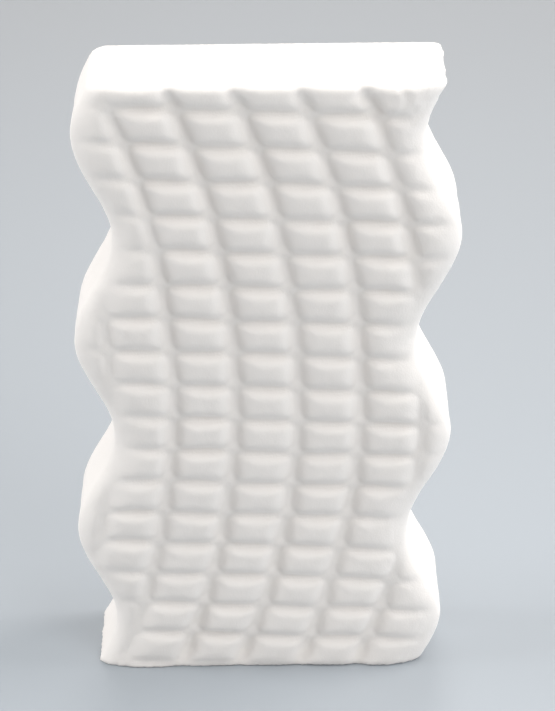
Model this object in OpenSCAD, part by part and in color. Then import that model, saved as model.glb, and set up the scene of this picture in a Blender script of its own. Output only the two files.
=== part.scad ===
// Cleaning sponge: one block of pressed white foam, standing on its short end.
// The front face points to -Y and carries rows of pressed pads.
// Both long sides are cut to the same wave, so that sponges nest in the sheet they are cut from.

/* [Block] */
// Height of the block from end cut to end cut
height = 120; // [60:1:200]
// Width between the two wavy sides, measured level
width = 61.3; // [40:0.1:120]
// Thickness from the pad crowns to the back
thickness = 20; // [10:0.5:40]
// How far in from the sides the front face begins to curve back
front_edge_reach = 9; // [1:0.5:14]
// How far it has curved back where it meets the sides
front_edge_depth = 3.3; // [0.5:0.1:6]
// Radius of the soft edges between the back and the sides
back_edge_r = 1.8; // [0.5:0.1:4.5]

/* [Wavy sides] */
// Number of full waves along each side
waves = 3; // [1:1:6]
// Depth of the wave from crest to trough
wave_depth = 7; // [0:0.1:12]
// How far the top end stands to the right of the bottom end
lean = 3.4; // [-10:0.1:10]

/* [Pad rows] */
// Distance from one row groove to the next
row_pitch = 6.75; // [5:0.05:15]
// Height of a row groove at the middle of the face
row_start = 6.6; // [0:0.1:20]
// Drop of the rows to the right, in degrees
row_tilt = 2.65; // [-8:0.05:8]
// Fullness of a pad's lower half: 2 is a round dome, more is flatter with a tighter shoulder
foot_fullness = 3; // [2:0.1:8]
// Fullness of a pad's upper half
head_fullness = 5; // [2:0.1:8]

/* [Pad columns] */
// Distance from one column groove to the next
column_pitch = 11.3; // [7:0.1:25]
// Place of a column groove, right of the middle, at the height where it stands upright
column_start = -5.2; // [-20:0.1:20]
// Radius of the bow that the column grooves follow
column_bow_r = 163; // [120:1:1000]
// Height at which the column grooves stand upright
column_bow_z = 60.8; // [30:0.1:90]
// Fullness of a pad towards its left and right
column_fullness = 3.2; // [2:0.1:8]

/* [Grooves] */
// Depth of the grooves below the pad crowns
groove_depth = 2; // [0.3:0.05:3]
// Radius that eases the floor of a groove
groove_floor_r = 0.4; // [0.1:0.05:1.5]
// Distance from the sides over which the grooves grow to their full depth
groove_fade = 11; // [1:0.5:20]

/* [Hidden] */

face_y = -thickness / 2;
back_y = thickness / 2;
// Steps round each soft edge
edge_steps = 4;
// Share of the front edge's reach, next to the side, that is drawn in those steps
edge_share = 0.25;
// Lines of the face that come closer than this to a soft edge end on it
least_strip = 0.4;
// Lines along which the face is drawn beside each groove, as shares of the pitch
row_steps = [0.06, 0.2];
column_steps = [0.045, 0.135, 0.27];

// Sideways place of the block's middle at height z: a wave, and the lean of the cut
function middle_x(z) = wave_depth / 2 * sin(360 * waves * z / height) + lean * (z / height - 0.5);
function side_x(z, side) = middle_x(z) + side * width / 2;

// Height of row line v at x, and place of column line u at height z
function row_z(v, x) = row_start + row_pitch * v - x * tan(row_tilt);
function column_x(u, z) = column_start + column_pitch * u
    - (column_bow_r - sqrt(column_bow_r ^ 2 - (z - column_bow_z) ^ 2));

// Point where column line u crosses row line v, settled by going from one to the other
function crossing(u, v, x = 0, passes = 3) =
    passes == 0 ? [x, row_z(v, x)] : crossing(u, v, column_x(u, row_z(v, x)), passes - 1);

// Point where row line v comes to the soft front edge on the left (-1) or right (1) side
function face_end(v, side, x = 0, passes = 4) =
    passes == 0 ? [x, row_z(v, x)]
    : face_end(v, side, side_x(row_z(v, x), side) - side * edge_share * front_edge_reach, passes - 1);

// Fall of the foam from a pad's crown, 0, to its groove's floor, 1
function fall(from_groove, pitch, fullness) = let (
    eased = norm([from_groove, groove_floor_r]) - groove_floor_r,
    to_crown = norm([pitch / 2, groove_floor_r]) - groove_floor_r
) max(0, 1 - eased / to_crown) ^ fullness;

// Depth of the pressed face behind the pad crowns at point p, given as [x, z]
function pressed(p) = let (
    u = (p.x - column_x(0, p.y)) / column_pitch,
    v = (p.y - row_z(0, p.x)) / row_pitch,
    beside = (u - round(u)) * column_pitch,
    above = (v - round(v)) * row_pitch,
    across = fall(beside, column_pitch, column_fullness),
    up = fall(above, row_pitch, above > 0 ? foot_fullness : head_fullness)
) groove_depth * (1 - (1 - across) * (1 - up));

// Place of the front face at point p: it curves back towards the sides, where the grooves fade
function front_y(p) = let (
    from_side = max(0, width / 2 - abs(p.x - middle_x(p.y))),
    outward = max(0, 1 - from_side / front_edge_reach),
    grown = min(1, from_side / groove_fade)
) face_y + front_edge_depth * (1 - sqrt(1 - outward ^ 2)) + pressed(p) * grown ^ 2 * (3 - 2 * grown);

// Lines along which the face is drawn, across whole pads from first to last: beside each
// groove, and along the middle of each pad
function pad_lines(first, last, steps) = [
    for (k = [first:last])
        each [for (t = concat(steps, [0.5], [for (i = [len(steps) - 1:-1:0]) 1 - steps[i]])) k + t]
];

// Last part of the curve of the front face, beyond its end at height z
function soft_front(z, side) = [
    let (start = asin(1 - edge_share))
        for (i = [1:edge_steps])
            let (
                a = start + (90 - start) * i / edge_steps,
                x = side_x(z, side) - side * front_edge_reach * (1 - sin(a))
            )
            [x, front_y([x, z]), z]
];

// Quarter turn from the side wall round to the back at height z
function soft_back(z, side) = [
    for (i = [0:edge_steps])
        let (
            x = side_x(z, side) - side * back_edge_r,
            a = 90 * i / edge_steps
        )
        [x + side * back_edge_r * cos(a), back_y - back_edge_r * (1 - sin(a)), z]
];

function reversed(list) = [for (i = [len(list) - 1:-1:0]) list[i]];

// Outline of the foam once round at row line v, starting at the left end of the back
function ring(v, columns) = let (
    left = face_end(v, -1),
    right = face_end(v, 1)
) concat(
    reversed(soft_back(left.y, -1)),
    reversed(soft_front(left.y, -1)),
    [
        for (u = columns)
            let (
                p = crossing(u, v),
                q = p.x < left.x + least_strip ? left : p.x > right.x - least_strip ? right : p
            )
            [q.x, front_y(q), q.y]
    ],
    soft_front(right.y, 1),
    soft_back(right.y, 1)
);

// Closes a stack of rings into a solid, leaving out the faces that have shrunk to nothing
module skin(rings) {
    n = len(rings[0]);
    top = (len(rings) - 1) * n;
    points = [for (ring = rings) each ring];
    walls = [
        for (k = [0:n:top - n], i = [0:n - 1])
            let (
                a = k + i,
                b = k + (i + 1) % n
            )
            each [[a, a + n, b + n], [a, b + n, b]]
    ];
    ends = [[for (i = [0:n - 1]) i], [for (i = [n - 1:-1:0]) top + i]];
    polyhedron(
        points = points,
        faces = concat(
            [
                for (f = walls)
                    if (points[f[0]] != points[f[1]] && points[f[1]] != points[f[2]]
                        && points[f[2]] != points[f[0]]) f
            ],
            ends
        )
    );
}

// A length of pressed foam between its wavy sides, longer than one sponge
module pressed_length() {
    reach = width / 2 + wave_depth / 2 + abs(lean);
    drop = reach * tan(abs(row_tilt));
    bow_z = max(column_bow_z, height - column_bow_z) + drop;
    bow = column_bow_r - sqrt(column_bow_r ^ 2 - bow_z ^ 2);
    rows = pad_lines(
        floor((-drop - row_start) / row_pitch),
        ceil((height + drop - row_start) / row_pitch) - 1,
        row_steps
    );
    columns = pad_lines(
        floor((-reach - column_start) / column_pitch),
        ceil((reach + bow - column_start) / column_pitch) - 1,
        column_steps
    );
    skin([for (v = rows) ring(v, columns)]);
}

// The sponge: its length of pressed foam, cut square at both ends
module sponge() {
    color("white")
        intersection() {
            pressed_length();
            translate([-width, -thickness, 0])
                cube([2 * width, 2 * thickness, height]);
        }
}

sponge();
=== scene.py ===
import math

import bpy
import numpy as np
from mathutils import Euler, Matrix, Vector, noise


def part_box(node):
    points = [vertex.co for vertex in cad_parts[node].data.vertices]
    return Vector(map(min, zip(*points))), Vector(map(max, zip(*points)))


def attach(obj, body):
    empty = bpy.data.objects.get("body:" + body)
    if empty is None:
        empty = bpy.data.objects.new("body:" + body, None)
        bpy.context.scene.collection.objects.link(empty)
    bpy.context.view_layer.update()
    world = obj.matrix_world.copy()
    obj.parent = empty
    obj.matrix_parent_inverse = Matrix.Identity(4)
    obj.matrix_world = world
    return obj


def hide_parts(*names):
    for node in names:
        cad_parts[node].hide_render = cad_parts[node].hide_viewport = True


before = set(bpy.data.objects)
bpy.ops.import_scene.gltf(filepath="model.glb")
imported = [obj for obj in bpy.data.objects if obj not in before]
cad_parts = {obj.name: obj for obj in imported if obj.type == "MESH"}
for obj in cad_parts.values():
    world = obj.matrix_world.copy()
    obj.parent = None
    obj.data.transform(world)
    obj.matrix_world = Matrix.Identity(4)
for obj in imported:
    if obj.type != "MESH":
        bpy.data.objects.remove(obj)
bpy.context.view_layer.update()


# Foam block
# One block of pressed white melamine foam, 120 mm high. A sheet of foam is pressed hot between a
# patterned plate and a flat one, cut to waves on both long sides, and cut square at both ends.

low, high = (Vector(corner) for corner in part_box("sponge"))
HEIGHT = high.z - low.z
THICKNESS = high.y - low.y
WAVES = 3
WAVE_DEPTH = 0.007
LEAN = 0.0034
WIDTH = high.x - low.x - WAVE_DEPTH - LEAN / 2

FRONT_EDGE_REACH = 0.009
FRONT_EDGE_DEPTH = 0.0033
BACK_EDGE_R = 0.0018
TOP_EDGE_R = 0.0015
FOOT_EDGE_R = 0.0005

ROW_PITCH = 0.00675
ROW_START = 0.0068
ROW_TILT = math.radians(2.65)
COLUMN_PITCH = 0.0113
COLUMN_START = -0.0052
COLUMN_BOW_R = 0.163
COLUMN_BOW_Z = 0.0608
COLUMN_DEPTH = 0.0020
ROW_DEPTH = 0.0014
GROOVE_FLOOR_R = 0.0004
COLUMN_LAND = 0.0006
ROW_LAND = 0.0003

# Fullness of a pad on each side: 2 is a round dome, more is flatter with a tighter shoulder
PAD_LEFT_FULLNESS = 3.2
PAD_RIGHT_FULLNESS = 4.2
PAD_FOOT_FULLNESS = 3.8
PAD_HEAD_FULLNESS = 4.6
# Shape of a pad's outline: 2 is an ellipse, more is a rectangle with tighter corners
CORNER_POWER = 6

# The grooves fade towards the sides, and grow shallow towards the end cuts
GROOVE_FADE = 0.011
CUT_GROOVE_SHARE = 0.35
CUT_FADE = 0.004

# Uneven pressing and rough foam: how strong each is, and over what length it changes
PRESS_WANDER = 0.0004
PRESS_WANDER_REACH = 0.010
PRESS_UNEVENNESS = 0.3
PRESS_UNEVENNESS_REACH = 0.014
SWELL = 0.00012
SWELL_REACH = 0.004
COARSENESS = 0.00003
COARSENESS_REACH = 0.0011
# The end cuts are ragged close to their edges, and the top one is torn at its right corner
CUT_RAGGEDNESS = 0.0004
CUT_RAGGEDNESS_REACH = 0.0006
RAGGED_HEIGHT = 0.0007
TORN_CORNER = 0.00025
TORN_CORNER_REACH = 0.0016
TORN_HEIGHT = 0.008
TORN_FROM_X = WIDTH / 4

STRIPS_ACROSS = 136
STRIPS_UP = 260
STRIPS_DEEP = 36
# The strips draw closer together within this distance of the end cuts
END_CLOSENESS = 0.001
# Distance between the parts of the noise that the drifts are taken from
DRIFT_APART = 17.3
TINY = 1e-9


def foam_blank():
    """A plain block of closely cut strips: a grid for the front, pulled back to the thickness."""
    bpy.ops.object.select_all(action="DESELECT")
    bpy.ops.mesh.primitive_grid_add(
        x_subdivisions=STRIPS_ACROSS, y_subdivisions=STRIPS_UP, size=1, rotation=(math.pi / 2, 0, 0)
    )
    blank = bpy.context.object
    blank.scale = (WIDTH, HEIGHT, 1)
    blank.location = (0, -THICKNESS / 2, HEIGHT / 2)
    bpy.ops.object.transform_apply(location=True, rotation=True, scale=True)
    bpy.ops.object.mode_set(mode="EDIT")
    bpy.ops.mesh.select_all(action="SELECT")
    bpy.ops.mesh.extrude_region_move(TRANSFORM_OT_translate={"value": (0, THICKNESS, 0)})
    bpy.ops.object.mode_set(mode="OBJECT")

    points = np.empty(3 * len(blank.data.vertices))
    blank.data.vertices.foreach_get("co", points)
    ends = np.empty(2 * len(blank.data.edges), dtype=np.int64)
    blank.data.edges.foreach_get("vertices", ends)
    y = points[1::3][ends].reshape(-1, 2)
    through = np.abs(y[:, 0] - y[:, 1]) > THICKNESS / 2
    # In vertex mode the rims would count as selected too
    bpy.context.tool_settings.mesh_select_mode = (False, True, False)
    for group in (blank.data.vertices, blank.data.polygons):
        group.foreach_set("select", [False] * len(group))
    blank.data.edges.foreach_set("select", through.tolist())
    bpy.ops.object.mode_set(mode="EDIT")
    bpy.ops.mesh.subdivide(number_cuts=STRIPS_DEEP - 1)
    bpy.ops.mesh.select_mode(type="VERT")
    bpy.ops.mesh.select_all(action="SELECT")
    bpy.ops.mesh.normals_make_consistent(inside=False)
    bpy.ops.object.mode_set(mode="OBJECT")
    return blank


def middle_x(z):
    """Sideways place of the block's middle at height z: the wave, and the lean of the cut."""
    return WAVE_DEPTH / 2 * np.sin(2 * np.pi * WAVES * z / HEIGHT) + LEAN * (z / HEIGHT - 0.5)


def gentle(share):
    """A growth from 0 to 1 that starts and ends gently."""
    share = np.clip(share, 0, 1)
    return share * share * (3 - 2 * share)


def from_crown(from_groove, pitch, land):
    """How far out on its pad a point lies: 0 at the crown, 1 at the flat land between the pads."""
    from_land = np.maximum(np.abs(from_groove) - land / 2, 0)
    eased = np.hypot(from_land, GROOVE_FLOOR_R) - GROOVE_FLOOR_R
    to_crown = math.hypot((pitch - land) / 2, GROOVE_FLOOR_R) - GROOVE_FLOOR_R
    return np.clip(1 - eased / to_crown, 0, 1)


def pressed(x, z):
    """Depth of the pressed face behind the pad crowns: the pads have rounded corners."""
    bow = COLUMN_BOW_R - np.sqrt(COLUMN_BOW_R ** 2 - (z - COLUMN_BOW_Z) ** 2)
    u = (x - COLUMN_START + bow) / COLUMN_PITCH
    v = (z - ROW_START + x * math.tan(ROW_TILT)) / ROW_PITCH
    beside = (u - np.round(u)) * COLUMN_PITCH
    above = (v - np.round(v)) * ROW_PITCH
    side_fullness = np.where(beside > 0, PAD_LEFT_FULLNESS, PAD_RIGHT_FULLNESS)
    end_fullness = np.where(above > 0, PAD_FOOT_FULLNESS, PAD_HEAD_FULLNESS)
    across = from_crown(beside, COLUMN_PITCH, COLUMN_LAND) ** CORNER_POWER
    up = from_crown(above, ROW_PITCH, ROW_LAND) ** CORNER_POWER
    both = np.maximum(across + up, TINY)
    depth = (COLUMN_DEPTH * across + ROW_DEPTH * up) / both
    fullness = (side_fullness * across + end_fullness * up) / both
    return depth * np.minimum(both, 1) ** (fullness / CORNER_POWER)


def drift(points, reach, part):
    """Smooth chance drift for each point, from about -0.5 to 0.5, changing over the given reach."""
    return np.array([noise.noise(q) for q in (points / reach + DRIFT_APART * part).tolist()])


def round_off(p, reach, depth):
    """Rounds the block's long edges: points in the corner move onto a quarter turn."""
    inner_x = WIDTH / 2 - reach
    inner_y = THICKNESS / 2 - depth
    core_x = np.clip(p[:, 0], -inner_x, inner_x)
    core_y = np.clip(p[:, 1], -inner_y, inner_y)
    out_x = (p[:, 0] - core_x) / reach
    out_y = (p[:, 1] - core_y) / depth
    longest = np.maximum(np.abs(out_x), np.abs(out_y))
    length = np.hypot(out_x, out_y)
    scale = np.where(length > TINY, longest / np.maximum(length, TINY), 1)
    p[:, 0] = core_x + out_x * scale * reach
    p[:, 1] = core_y + out_y * scale * depth


def press_foam(p):
    """Moves the blank's points to the smooth form: its edges, its waves and its pressed pads."""
    from_end = np.minimum(p[:, 2], HEIGHT - p[:, 2])
    near_end = from_end * (1 - np.exp(-from_end / END_CLOSENESS))
    p[:, 2] = np.where(p[:, 2] < HEIGHT / 2, near_end, HEIGHT - near_end)

    in_front = p[:, 1] < 0
    from_back = 0.5 - p[:, 1] / THICKNESS
    round_off(
        p,
        np.where(in_front, FRONT_EDGE_REACH, BACK_EDGE_R),
        np.where(in_front, FRONT_EDGE_DEPTH, BACK_EDGE_R),
    )
    grown = gentle((WIDTH / 2 - np.abs(p[:, 0])) / GROOVE_FADE)
    p[:, 0] += middle_x(p[:, 2])
    flat = p * (1, 0, 1)
    depth = pressed(
        p[:, 0] + PRESS_WANDER * drift(flat, PRESS_WANDER_REACH, 1),
        p[:, 2] + PRESS_WANDER * drift(flat, PRESS_WANDER_REACH, 2),
    )
    opened = CUT_GROOVE_SHARE + (1 - CUT_GROOVE_SHARE) * gentle(near_end / CUT_FADE)
    uneven = 1 + PRESS_UNEVENNESS * drift(flat, PRESS_UNEVENNESS_REACH, 3)
    p[:, 1] += depth * uneven * opened * grown * from_back

    end_edge_r = np.where(p[:, 2] > HEIGHT / 2, TOP_EDGE_R, FOOT_EDGE_R)
    turn = np.clip(1 - near_end / end_edge_r, 0, 1)
    inset = end_edge_r * (1 - np.sqrt(1 - turn ** 2))
    middle = middle_x(p[:, 2])
    p[:, 0] = middle + (p[:, 0] - middle) * (1 - inset / (WIDTH / 2))
    p[:, 1] *= 1 - inset / (THICKNESS / 2)


def roughness(p):
    """How far the rough foam stands out from the smooth form at each point."""
    from_cut = np.minimum(p[:, 2], HEIGHT - p[:, 2])
    ragged = CUT_RAGGEDNESS * np.exp(-from_cut / RAGGED_HEIGHT)
    torn = TORN_CORNER * np.exp(-((HEIGHT - p[:, 2]) / TORN_HEIGHT) ** 2) * (p[:, 0] > TORN_FROM_X)
    return (
        ragged * drift(p, CUT_RAGGEDNESS_REACH, 6)
        + torn * drift(p, TORN_CORNER_REACH, 7)
        + SWELL * drift(p, SWELL_REACH, 4)
        + COARSENESS * drift(p, COARSENESS_REACH, 5)
    )


foam = foam_blank()
foam.name = "foam_block"
points = np.empty(3 * len(foam.data.vertices))
foam.data.vertices.foreach_get("co", points)
points = points.reshape(-1, 3)
press_foam(points)
foam.data.vertices.foreach_set("co", points.ravel())
foam.data.update()

# The roughness stands out level, so the end cuts stay flat
outward = np.empty(points.size)
foam.data.vertex_normals.foreach_get("vector", outward)
points[:, :2] += outward.reshape(-1, 3)[:, :2] * roughness(points)[:, None]
foam.data.vertices.foreach_set("co", points.ravel())
foam.data.update()
bpy.ops.object.shade_smooth()

FOAM_WHITE = (0.965, 0.925, 0.89, 1)
CELLS_PER_M = 3200
LUMPS_PER_M = 900
CELL_SHARE = 0.5
MOTTLE = 0.015
GRAIN_HEIGHT = 0.00004

grain = bpy.data.node_groups.new("foam_grain", "ShaderNodeTree")
grain.interface.new_socket("Vector", in_out="INPUT", socket_type="NodeSocketVector")
grain.interface.new_socket("Tint", in_out="INPUT", socket_type="NodeSocketColor")
grain.interface.new_socket("Color", in_out="OUTPUT", socket_type="NodeSocketColor")
grain.interface.new_socket("Height", in_out="OUTPUT", socket_type="NodeSocketFloat")
grain_in = grain.nodes.new("NodeGroupInput")
grain_out = grain.nodes.new("NodeGroupOutput")
cells = grain.nodes.new("ShaderNodeTexVoronoi")
cells.inputs["Scale"].default_value = CELLS_PER_M
lumps = grain.nodes.new("ShaderNodeTexNoise")
lumps.inputs["Scale"].default_value = LUMPS_PER_M
lumps.inputs["Detail"].default_value = 3
height = grain.nodes.new("ShaderNodeMath")
height.operation = "MULTIPLY_ADD"
height.inputs[1].default_value = CELL_SHARE
shade = grain.nodes.new("ShaderNodeMapRange")
shade.inputs["To Min"].default_value = 1 - MOTTLE
shade.inputs["To Max"].default_value = 1
tinted = grain.nodes.new("ShaderNodeVectorMath")
tinted.operation = "SCALE"
grain.links.new(grain_in.outputs["Vector"], cells.inputs["Vector"])
grain.links.new(grain_in.outputs["Vector"], lumps.inputs["Vector"])
grain.links.new(cells.outputs["Distance"], height.inputs[0])
grain.links.new(lumps.outputs["Fac"], height.inputs[2])
grain.links.new(height.outputs["Value"], grain_out.inputs["Height"])
grain.links.new(lumps.outputs["Fac"], shade.inputs["Value"])
grain.links.new(grain_in.outputs["Tint"], tinted.inputs[0])
grain.links.new(shade.outputs["Result"], tinted.inputs["Scale"])
grain.links.new(tinted.outputs["Vector"], grain_out.inputs["Color"])

foam_finish = bpy.data.materials.new("white_foam")
foam_finish.use_nodes = True
foam_nodes = foam_finish.node_tree.nodes
foam_links = foam_finish.node_tree.links
foam_shader = foam_nodes["Principled BSDF"]
foam_shader.inputs["Roughness"].default_value = 0.95
foam_shader.inputs["Specular IOR Level"].default_value = 0.2
foam_shader.inputs["Subsurface Weight"].default_value = 0.08
foam_shader.inputs["Subsurface Radius"].default_value = (1, 1, 1)
foam_shader.inputs["Subsurface Scale"].default_value = 0.006
foam_place = foam_nodes.new("ShaderNodeTexCoord")
foam_grain = foam_nodes.new("ShaderNodeGroup")
foam_grain.node_tree = grain
foam_grain.inputs["Tint"].default_value = FOAM_WHITE
bump = foam_nodes.new("ShaderNodeBump")
bump.inputs["Distance"].default_value = GRAIN_HEIGHT
foam_links.new(foam_place.outputs["Object"], foam_grain.inputs["Vector"])
foam_links.new(foam_grain.outputs["Color"], foam_shader.inputs["Base Color"])
foam_links.new(foam_grain.outputs["Height"], bump.inputs["Height"])
foam_links.new(bump.outputs["Normal"], foam_shader.inputs["Normal"])
foam.data.materials.append(foam_finish)

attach(foam, "root")
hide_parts("sponge")


# Floor
# A plain pale floor, wide enough that every view ends on it. Its own tone is a plain grey behind
# the block. Towards the front the colour is painted lighter and bluer, as painted light standing in
# for the light reflected off the near floor.

FLOOR_RADIUS = 3
FLOOR_SIDES = 96
# Painted light: the near floor is coloured lighter and bluer than the plain far tone
PAINTED_LIGHT_FRONT_TONE = (0.38, 0.415, 0.45, 1)
FRONT_TONE_Y = 0.03
FAR_TONE = (0.366, 0.384, 0.405, 1)
FAR_TONE_Y = 0.33

bpy.ops.object.select_all(action="DESELECT")
bpy.ops.mesh.primitive_circle_add(vertices=FLOOR_SIDES, radius=FLOOR_RADIUS, fill_type="NGON")
floor = bpy.context.object
floor.name = "floor"
floor_finish = bpy.data.materials.new("pale_floor")
floor_finish.use_nodes = True
floor_nodes = floor_finish.node_tree.nodes
floor_links = floor_finish.node_tree.links
floor_shader = floor_nodes["Principled BSDF"]
floor_shader.inputs["Roughness"].default_value = 0.5
floor_place = floor_nodes.new("ShaderNodeTexCoord")
floor_axes = floor_nodes.new("ShaderNodeSeparateXYZ")
away = floor_nodes.new("ShaderNodeMapRange")
away.inputs["From Min"].default_value = FRONT_TONE_Y
away.inputs["From Max"].default_value = FAR_TONE_Y
# Blends the painted light at the front into the floor's plain far tone
floor_tone_and_painted_light = floor_nodes.new("ShaderNodeMix")
floor_tone_and_painted_light.data_type = "RGBA"
floor_tone_and_painted_light.inputs["A"].default_value = PAINTED_LIGHT_FRONT_TONE
floor_tone_and_painted_light.inputs["B"].default_value = FAR_TONE
floor_links.new(floor_place.outputs["Object"], floor_axes.inputs["Vector"])
floor_links.new(floor_axes.outputs["Y"], away.inputs["Value"])
floor_links.new(away.outputs["Result"], floor_tone_and_painted_light.inputs["Factor"])
floor_links.new(floor_tone_and_painted_light.outputs["Result"], floor_shader.inputs["Base Color"])
floor.data.materials.append(floor_finish)


# Light
# Eight large soft lamps in a pale room. Those above and at the front right shade each pad towards
# its lower left, and one at each side whitens the cut sides.

def soft_light(name, place, size, power, color):
    """A round lamp of the given size in metres and power in watts, aimed at the block's middle."""
    lamp = bpy.data.lights.new(name, "AREA")
    lamp.shape = "DISK"
    lamp.size = size
    lamp.energy = power
    lamp.color = color
    holder = bpy.data.objects.new(name, lamp)
    holder.location = place
    aim = Vector((0, 0, HEIGHT / 2)) - Vector(place)
    holder.rotation_euler = aim.to_track_quat("-Z", "Y").to_euler()
    bpy.context.collection.objects.link(holder)


soft_light("top_light", (0, 0, 0.9), 0.6, 1.9, (0.92, 0.97, 1))
soft_light("top_right_light", (0.45, 0.1, 0.8), 0.4, 3.4, (1, 0.925, 0.865))
soft_light("right_light", (0.8, 0, 0.35), 0.4, 2.2, (0.9, 0.95, 1))
soft_light("left_light", (-0.8, 0, 0.35), 0.4, 3.7, (1, 1, 1))
soft_light("front_light", (0, -1.0, 0.5), 1.0, 0.7, (1, 0.965, 0.93))
soft_light("front_top_right_light", (0.4, -0.4, 0.8), 0.5, 1.2, (1, 0.99, 0.98))
soft_light("front_right_light", (0.6, -0.6, 0.5), 0.6, 2.0, (0.96, 0.985, 1))
soft_light("back_light", (0, 0.8, 0.6), 0.5, 2.0, (1, 1, 1))

ROOM_TONE = (1, 0.96, 0.925, 1)
ROOM_BRIGHTNESS = 0.34

room = bpy.data.worlds.new("pale_room")
room.use_nodes = True
sky = room.node_tree.nodes["Background"]
sky.inputs["Color"].default_value = ROOM_TONE
sky.inputs["Strength"].default_value = ROOM_BRIGHTNESS
bpy.context.scene.world = room
bpy.context.scene.view_settings.view_transform = "Standard"


# Camera
# Stands 0.42 m in front of the block and 0.3 m up, looking down at it with a long lens.

CAMERA_PLACE = (0.0031, -0.4239, 0.2998)
CAMERA_DOWN = math.radians(29.24)
CAMERA_TURN = math.radians(-0.09)
CAMERA_ROLL = math.radians(-0.64)
SENSOR_MM = 36
PHOTO_HEIGHT_PX = 711
FOCAL_LENGTH_PX = 2664

lens = bpy.data.cameras.new("camera")
lens.sensor_width = SENSOR_MM
lens.lens = SENSOR_MM * FOCAL_LENGTH_PX / PHOTO_HEIGHT_PX
camera = bpy.data.objects.new("camera", lens)
aimed = Euler((math.pi / 2 - CAMERA_DOWN, 0, -CAMERA_TURN)).to_matrix()
rolled = aimed @ Matrix.Rotation(CAMERA_ROLL, 3, "Z")
camera.matrix_world = Matrix.Translation(CAMERA_PLACE) @ rolled.to_4x4()
bpy.context.collection.objects.link(camera)
bpy.context.scene.camera = camera
